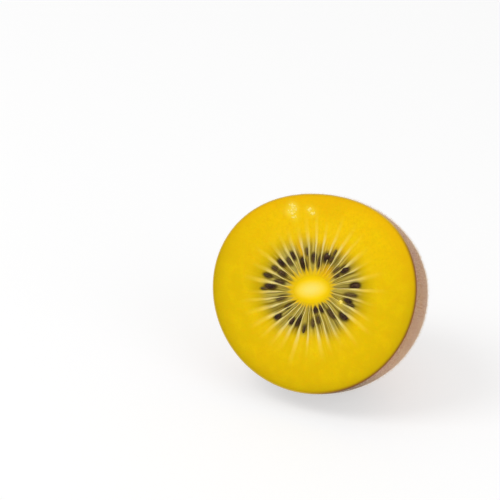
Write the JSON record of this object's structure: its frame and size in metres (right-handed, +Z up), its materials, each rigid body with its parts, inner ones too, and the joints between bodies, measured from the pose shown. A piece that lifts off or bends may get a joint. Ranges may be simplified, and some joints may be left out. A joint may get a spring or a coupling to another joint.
{
  "type": "golden kiwi fruit half",
  "caption": "Half of a golden kiwi fruit, cut across: thin bronze skin, gold flesh with fine rays and dark seeds round a pale core, lying with its cut face tilted back.",
  "frame": {"origin": "on the surface the fruit lies on, under the centre of its outline seen from above", "axes": "+X along the widest way across the cut section, +Y back from the cut face towards the stem end, +Z up"},
  "size_m": [0.0528, 0.0428, 0.0467],
  "materials": {
    "bronze_skin": "dry thin skin, bronze brown with fine pale speckles and very short fuzz",
    "gold_flesh": "wet juicy flesh, golden yellow, satin with small glints",
    "pale_core": "firm moist core, cream in the middle and bright yellow at its edge",
    "dark_seed": "small smooth seeds, black brown and wet, for the seeds that the flesh node carries as relief",
    "corky_scar": "dry cork, tan and olive, lumpy, with a dark pit"
  },
  "bodies": {
    "root": {"skin": "bronze_skin", "flesh": "gold_flesh", "core": "pale_core", "stem_scar": "corky_scar"}
  },
  "joints": []
}
